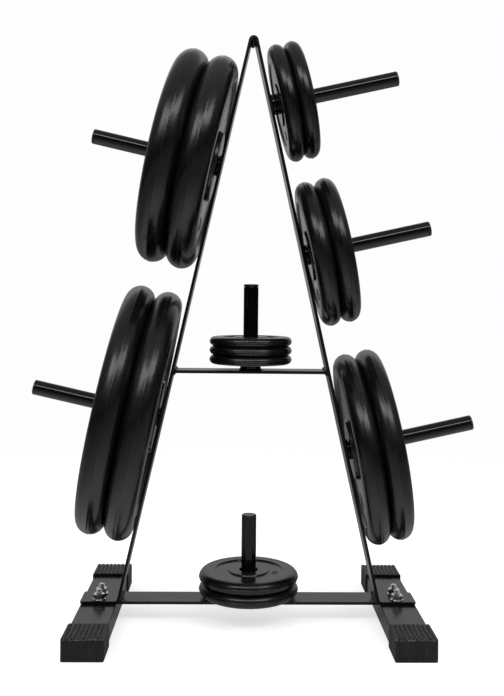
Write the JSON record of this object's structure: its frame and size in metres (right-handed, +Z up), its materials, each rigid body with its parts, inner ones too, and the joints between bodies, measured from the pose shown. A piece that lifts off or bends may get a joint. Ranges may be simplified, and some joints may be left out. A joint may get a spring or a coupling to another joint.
{
  "type": "plate tree",
  "caption": "A-shaped steel stand on two foot rails whose side pegs and upright pins store round weight plates that slide off one at a time.",
  "frame": {"origin": "on the floor under the middle of the whole width and depth", "axes": "+Z up, +Y to the back of the tree, +X to the right as seen from its front"},
  "size_m": [0.7442, 0.4188, 0.9765],
  "materials": {
    "black_powder_coat": "semi-gloss black powder coat on steel bar and tube",
    "gloss_black_paint": "gloss black paint on steel tube",
    "black_plastic": "moulded black plastic",
    "foot_rubber": "matte black ribbed rubber",
    "plate_rubber": "satin black rubber coat over a cast iron core",
    "zinc_steel": "bright zinc plate"
  },
  "bodies": {
    "frame": {"apex_weld": "black_powder_coat", "mid_bar": "black_powder_coat", "base_bar": "black_powder_coat", "leg_left": "black_powder_coat", "rail_left": "black_powder_coat", "foot_cap_left_front": "foot_rubber", "bolt_left_front": "zinc_steel", "washer_left_front": "zinc_steel", "nut_left_front": "zinc_steel", "foot_cap_left_back": "foot_rubber", "bolt_left_back": "zinc_steel", "washer_left_back": "zinc_steel", "nut_left_back": "zinc_steel", "leg_right": "black_powder_coat", "rail_right": "black_powder_coat", "foot_cap_right_front": "foot_rubber", "bolt_right_front": "zinc_steel", "washer_right_front": "zinc_steel", "nut_right_front": "zinc_steel", "foot_cap_right_back": "foot_rubber", "bolt_right_back": "zinc_steel", "washer_right_back": "zinc_steel", "nut_right_back": "zinc_steel", "peg_right_top": "gloss_black_paint", "peg_right_top_plug": "black_plastic", "peg_right_middle": "gloss_black_paint", "peg_right_middle_plug": "black_plastic", "peg_right_low": "gloss_black_paint", "peg_right_low_plug": "black_plastic", "peg_left_top": "gloss_black_paint", "peg_left_top_plug": "black_plastic", "peg_left_low": "gloss_black_paint", "peg_left_low_plug": "black_plastic", "pin_mid": "gloss_black_paint", "pin_mid_plug": "black_plastic", "pin_base": "gloss_black_paint", "pin_base_plug": "black_plastic"},
    "plate_right_top_inner": {"plate_right_top_inner": "plate_rubber"},
    "plate_right_top_outer": {"plate_right_top_outer": "plate_rubber"},
    "plate_right_middle_inner": {"plate_right_middle_inner": "plate_rubber"},
    "plate_right_middle_outer": {"plate_right_middle_outer": "plate_rubber"},
    "plate_right_low_inner": {"plate_right_low_inner": "plate_rubber"},
    "plate_right_low_outer": {"plate_right_low_outer": "plate_rubber"},
    "plate_left_top_inner": {"plate_left_top_inner": "plate_rubber"},
    "plate_left_top_outer": {"plate_left_top_outer": "plate_rubber"},
    "plate_left_low_inner": {"plate_left_low_inner": "plate_rubber"},
    "plate_left_low_outer": {"plate_left_low_outer": "plate_rubber"},
    "plate_base_lower": {"plate_base_lower": "plate_rubber"},
    "plate_base_upper": {"plate_base_upper": "plate_rubber"},
    "plate_mid_lower": {"plate_mid_lower": "plate_rubber"},
    "plate_mid_middle": {"plate_mid_middle": "plate_rubber"},
    "plate_mid_upper": {"plate_mid_upper": "plate_rubber"}
  },
  "joints": [
    {"name": "plate_right_top_inner_slide", "type": "slide", "parent": "frame", "child": "plate_right_top_inner", "axis": [0.9755, 0, 0.2198], "range_m": [0, 0.21]},
    {"name": "plate_right_top_outer_slide", "type": "slide", "parent": "plate_right_top_inner", "child": "plate_right_top_outer", "axis": [0.9755, 0, 0.2198], "range_m": [0, 0.183]},
    {"name": "plate_right_middle_inner_slide", "type": "slide", "parent": "frame", "child": "plate_right_middle_inner", "axis": [0.9755, 0, 0.2198], "range_m": [0, 0.214]},
    {"name": "plate_right_middle_outer_slide", "type": "slide", "parent": "plate_right_middle_inner", "child": "plate_right_middle_outer", "axis": [0.9755, 0, 0.2198], "range_m": [0, 0.181]},
    {"name": "plate_right_low_inner_slide", "type": "slide", "parent": "frame", "child": "plate_right_low_inner", "axis": [0.9755, 0, 0.2198], "range_m": [0, 0.215]},
    {"name": "plate_right_low_outer_slide", "type": "slide", "parent": "plate_right_low_inner", "child": "plate_right_low_outer", "axis": [0.9755, 0, 0.2198], "range_m": [0, 0.177]},
    {"name": "plate_left_top_inner_slide", "type": "slide", "parent": "frame", "child": "plate_left_top_inner", "axis": [-0.9755, 0, 0.2198], "range_m": [0, 0.216]},
    {"name": "plate_left_top_outer_slide", "type": "slide", "parent": "plate_left_top_inner", "child": "plate_left_top_outer", "axis": [-0.9755, 0, 0.2198], "range_m": [0, 0.167]},
    {"name": "plate_left_low_inner_slide", "type": "slide", "parent": "frame", "child": "plate_left_low_inner", "axis": [-0.9755, 0, 0.2198], "range_m": [0, 0.217]},
    {"name": "plate_left_low_outer_slide", "type": "slide", "parent": "plate_left_low_inner", "child": "plate_left_low_outer", "axis": [-0.9755, 0, 0.2198], "range_m": [0, 0.17]},
    {"name": "plate_base_lower_lift", "type": "slide", "parent": "frame", "child": "plate_base_lower", "axis": [0, 0, 1], "range_m": [0, 0.136]},
    {"name": "plate_base_upper_lift", "type": "slide", "parent": "plate_base_lower", "child": "plate_base_upper", "axis": [0, 0, 1], "range_m": [0, 0.115]},
    {"name": "plate_mid_lower_lift", "type": "slide", "parent": "frame", "child": "plate_mid_lower", "axis": [0, 0, 1], "range_m": [0, 0.038]},
    {"name": "plate_mid_middle_lift", "type": "slide", "parent": "plate_mid_lower", "child": "plate_mid_middle", "axis": [0, 0, 1], "range_m": [0, 0.052]},
    {"name": "plate_mid_upper_lift", "type": "slide", "parent": "plate_mid_middle", "child": "plate_mid_upper", "axis": [0, 0, 1], "range_m": [0, 0.105]}
  ]
}
